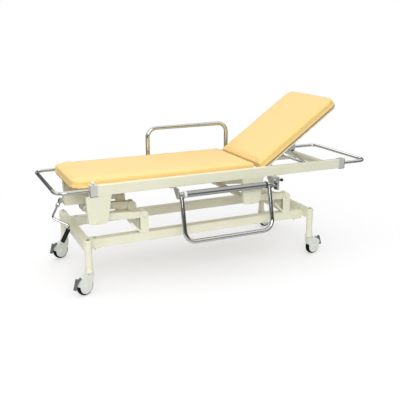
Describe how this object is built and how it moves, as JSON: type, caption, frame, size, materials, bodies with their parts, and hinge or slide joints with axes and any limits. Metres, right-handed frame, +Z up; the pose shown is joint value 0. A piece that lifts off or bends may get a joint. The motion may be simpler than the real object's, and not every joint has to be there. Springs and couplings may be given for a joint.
{
  "type": "stretcher trolley",
  "caption": "Patient stretcher trolley with crank-driven parallelogram lift, raising back section, fold-down side guards, end loops and braked swivel casters.",
  "frame": {"origin": "on the floor, under the middle of the wheelbase and of the track", "axes": "+X to the head end, +Z up, +Y to the far side"},
  "size_m": [2.029, 0.7558, 0.9877],
  "materials": {
    "frame_paint": "ivory powder coat",
    "chrome_tube": "bright plated",
    "steel_part": "zinc plated",
    "pad_vinyl": "soft vinyl, matt",
    "board_wood": "plain plywood",
    "caster_shell": "satin moulded",
    "tyre_rubber": "matt",
    "dark_plastic": "matt moulded",
    "grip_rubber": "matt",
    "bush_metal": "plain bearing bronze",
    "dark_steel": "blackened",
    "knob_white": "satin moulded"
  },
  "bodies": {
    "base": {"base_end_foot": "frame_paint", "base_end_head": "frame_paint", "base_rail_near": "frame_paint", "base_rail_far": "frame_paint", "pivot_bracket_foot": "frame_paint", "pivot_bracket_head": "frame_paint", "rail_bolts": "steel_part", "low_pivot_bolts": "steel_part", "post_caps": "dark_steel"},
    "foot_arms": {"lift_arms_foot": "frame_paint", "arm_bushes_foot": "bush_metal", "screw_fork": "steel_part"},
    "head_arms": {"lift_arms_head": "frame_paint", "arm_bushes_head": "bush_metal"},
    "top_frame": {"side_rail_near": "frame_paint", "side_rail_far": "frame_paint", "cross_slats": "frame_paint", "rail_clamps": "steel_part", "clamp_screws": "steel_part", "clamp_knobs": "knob_white", "end_loop_foot": "chrome_tube", "end_loop_head": "chrome_tube", "hanger_plates": "frame_paint", "high_pivot_bolts": "steel_part", "jack_housing": "frame_paint", "main_board": "board_wood", "main_pad": "pad_vinyl", "stay_racks": "frame_paint", "back_rests": "grip_rubber", "guard_mounts": "steel_part", "guard_locks": "dark_steel"},
    "screw": {"jack_screw": "steel_part"},
    "nut": {"jack_nut": "bush_metal"},
    "back_section": {"back_frame": "frame_paint", "back_board": "board_wood", "back_pad": "pad_vinyl"},
    "stay": {"back_stay": "steel_part"},
    "guard_near": {"side_guard_near": "chrome_tube"},
    "guard_far": {"side_guard_far": "chrome_tube"},
    "plunger_near": {"lock_knob_near": "dark_plastic"},
    "plunger_far": {"lock_knob_far": "dark_plastic"},
    "crank_link": {"crank_joint": "dark_steel"},
    "crank": {"crank_handle": "chrome_tube"},
    "grip": {"crank_grip": "grip_rubber"},
    "caster_foot_near": {"caster_fork_foot_near": "caster_shell"},
    "wheel_foot_near": {"caster_wheel_foot_near": "caster_shell", "caster_tyre_foot_near": "tyre_rubber"},
    "pedal_foot_near": {"caster_pedal_foot_near": "dark_plastic"},
    "caster_foot_far": {"caster_fork_foot_far": "caster_shell"},
    "wheel_foot_far": {"caster_wheel_foot_far": "caster_shell", "caster_tyre_foot_far": "tyre_rubber"},
    "pedal_foot_far": {"caster_pedal_foot_far": "dark_plastic"},
    "caster_head_near": {"caster_fork_head_near": "caster_shell"},
    "wheel_head_near": {"caster_wheel_head_near": "caster_shell", "caster_tyre_head_near": "tyre_rubber"},
    "pedal_head_near": {"caster_pedal_head_near": "dark_plastic"},
    "caster_head_far": {"caster_fork_head_far": "caster_shell"},
    "wheel_head_far": {"caster_wheel_head_far": "caster_shell", "caster_tyre_head_far": "tyre_rubber"},
    "pedal_head_far": {"caster_pedal_head_far": "dark_plastic"}
  },
  "joints": [
    {"name": "lift", "type": "hinge", "parent": "base", "child": "foot_arms", "pos_m": [-0.367, 0, 0.385], "axis": [0, 1, 0], "range_deg": [0, 56]},
    {"name": "top_level", "type": "hinge", "parent": "foot_arms", "child": "top_frame", "pos_m": [-0.653, 0, 0.404], "axis": [0, 1, 0], "range_deg": [-56, 0]},
    {"name": "head_lift", "type": "hinge", "parent": "base", "child": "head_arms", "pos_m": [0.577, 0, 0.385], "axis": [0, 1, 0], "range_deg": [0, 56]},
    {"name": "nut_travel", "type": "slide", "parent": "top_frame", "child": "nut", "axis": [1, 0, 0], "range_m": [0, 0.056]},
    {"name": "screw_turn", "type": "hinge", "parent": "top_frame", "child": "screw", "pos_m": [-0.7, 0, 0.458], "axis": [1, 0, 0], "continuous": true},
    {"name": "crank_fold", "type": "hinge", "parent": "top_frame", "child": "crank_link", "pos_m": [-0.79, 0, 0.458], "axis": [0, 1, 0], "range_deg": [0, 62]},
    {"name": "crank_turn", "type": "hinge", "parent": "crank_link", "child": "crank", "pos_m": [-0.79, 0, 0.458], "axis": [-0.4695, 0, -0.8829], "continuous": true},
    {"name": "grip_spin", "type": "hinge", "parent": "crank", "child": "grip", "pos_m": [-0.74995, -0.04196, 0.31212], "axis": [-0.4695, 0, -0.8829], "continuous": true},
    {"name": "back_raise", "type": "hinge", "parent": "top_frame", "child": "back_section", "pos_m": [0.384, 0, 0.588], "axis": [0, -1, 0], "range_deg": [-35, 25]},
    {"name": "stay_fold", "type": "hinge", "parent": "back_section", "child": "stay", "pos_m": [0.59076, 0, 0.69371], "axis": [0, 1, 0], "range_deg": [-70.8, 50.6]},
    {"name": "guard_near_fold", "type": "hinge", "parent": "top_frame", "child": "guard_near", "pos_m": [0.108, -0.33, 0.503], "axis": [-1, 0, 0], "range_deg": [0, 166]},
    {"name": "guard_far_fold", "type": "hinge", "parent": "top_frame", "child": "guard_far", "pos_m": [0.15, 0.33, 0.503], "axis": [-1, 0, 0], "range_deg": [0, 166]},
    {"name": "plunger_near_pull", "type": "slide", "parent": "top_frame", "child": "plunger_near", "axis": [1, 0, 0], "range_m": [0, 0.008], "stiffness_N_per_m": 400},
    {"name": "plunger_far_pull", "type": "slide", "parent": "top_frame", "child": "plunger_far", "axis": [1, 0, 0], "range_m": [0, 0.008], "stiffness_N_per_m": 400},
    {"name": "swivel_foot_near", "type": "hinge", "parent": "base", "child": "caster_foot_near", "pos_m": [-0.715, -0.304, 0.1], "axis": [0, 0, 1], "continuous": true},
    {"name": "roll_foot_near", "type": "hinge", "parent": "caster_foot_near", "child": "wheel_foot_near", "pos_m": [-0.74736, -0.31978, 0.05], "axis": [-0.4384, 0.8988, 0], "continuous": true},
    {"name": "brake_foot_near", "type": "hinge", "parent": "caster_foot_near", "child": "pedal_foot_near", "pos_m": [-0.74736, -0.31978, 0.05], "axis": [0.4384, -0.8988, 0], "range_deg": [0, 12]},
    {"name": "swivel_foot_far", "type": "hinge", "parent": "base", "child": "caster_foot_far", "pos_m": [-0.715, 0.304, 0.1], "axis": [0, 0, 1], "continuous": true},
    {"name": "roll_foot_far", "type": "hinge", "parent": "caster_foot_far", "child": "wheel_foot_far", "pos_m": [-0.74789, 0.28936, 0.05], "axis": [-0.4067, 0.9135, 0], "continuous": true},
    {"name": "brake_foot_far", "type": "hinge", "parent": "caster_foot_far", "child": "pedal_foot_far", "pos_m": [-0.74789, 0.28936, 0.05], "axis": [0.4067, -0.9135, 0], "range_deg": [0, 12]},
    {"name": "swivel_head_near", "type": "hinge", "parent": "base", "child": "caster_head_near", "pos_m": [0.715, -0.304, 0.1], "axis": [0, 0, 1], "continuous": true},
    {"name": "roll_head_near", "type": "hinge", "parent": "caster_head_near", "child": "wheel_head_near", "pos_m": [0.75021, -0.29652, 0.05], "axis": [0.2079, -0.9781, 0], "continuous": true},
    {"name": "brake_head_near", "type": "hinge", "parent": "caster_head_near", "child": "pedal_head_near", "pos_m": [0.75021, -0.29652, 0.05], "axis": [-0.2079, 0.9781, 0], "range_deg": [0, 12]},
    {"name": "swivel_head_far", "type": "hinge", "parent": "base", "child": "caster_head_far", "pos_m": [0.715, 0.304, 0.1], "axis": [0, 0, 1], "continuous": true},
    {"name": "roll_head_far", "type": "hinge", "parent": "caster_head_far", "child": "wheel_head_far", "pos_m": [0.75065, 0.30901, 0.05], "axis": [0.1392, -0.9903, 0], "continuous": true},
    {"name": "brake_head_far", "type": "hinge", "parent": "caster_head_far", "child": "pedal_head_far", "pos_m": [0.75065, 0.30901, 0.05], "axis": [-0.1392, 0.9903, 0], "range_deg": [0, 12]}
  ],
  "couplings": [
    {"joint": "top_level", "follows": "lift", "ratio": -1},
    {"joint": "head_lift", "follows": "lift", "ratio": 1},
    {"joint": "nut_travel", "follows": "lift", "m_per_rad": 0.05724},
    {"joint": "screw_turn", "follows": "crank_turn", "ratio": -1},
    {"joint": "stay_fold", "follows": "back_raise", "ratio": 2.02}
  ]
}
